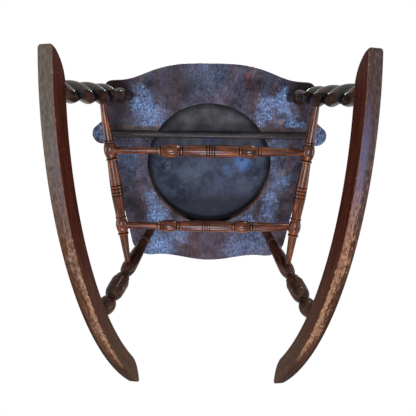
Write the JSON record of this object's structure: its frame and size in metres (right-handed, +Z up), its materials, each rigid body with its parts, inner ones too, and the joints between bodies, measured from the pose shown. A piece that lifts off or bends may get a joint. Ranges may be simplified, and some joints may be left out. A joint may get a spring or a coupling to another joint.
{
  "type": "hoop back rocking chair",
  "caption": "Wooden rocking chair with a bent hoop back, turned spindles and arms, rope-turned front legs and a round dished seat panel.",
  "frame": {"origin": "middle of the bounding box, on the floor that the rockers stand on", "axes": "+Z up, +X across the chair to the right as seen from in front, -Y the way the sitter faces"},
  "size_m": [0.544, 0.7406, 0.9179],
  "materials": {
    "leg_wood": "dark stain under worn varnish",
    "turned_wood": "glossy red-brown varnish",
    "rocker_wood": "dark stain, worn bare underneath",
    "seat_wood": "dark stain, bare and greyed underneath",
    "panel_leather": "aged, dull",
    "rod_wood": "dull",
    "screw_steel": "dull"
  },
  "bodies": {
    "root": {"arm_left": "turned_wood", "arm_post_left": "leg_wood", "arm_post_right": "leg_wood", "arm_right": "turned_wood", "arm_screws": "screw_steel", "back_hoop": "turned_wood", "back_spindle_1": "turned_wood", "back_spindle_2": "turned_wood", "back_spindle_3": "turned_wood", "back_spindle_4": "turned_wood", "back_spindle_5": "turned_wood", "back_spindle_6": "turned_wood", "back_spindle_7": "turned_wood", "front_arm_spindle_left": "turned_wood", "front_arm_spindle_right": "turned_wood", "front_cross_stretcher": "turned_wood", "front_leg_left": "leg_wood", "front_leg_right": "leg_wood", "post_wedges": "seat_wood", "rear_arm_spindle_left": "turned_wood", "rear_arm_spindle_right": "turned_wood", "rear_cross_stretcher": "turned_wood", "rear_leg_left": "leg_wood", "rear_leg_right": "leg_wood", "rocker_left": "rocker_wood", "rocker_right": "rocker_wood", "seat_board": "seat_wood", "seat_panel": "panel_leather", "side_stretcher_left": "turned_wood", "side_stretcher_right": "turned_wood", "tie_rod": "rod_wood"}
  },
  "joints": []
}
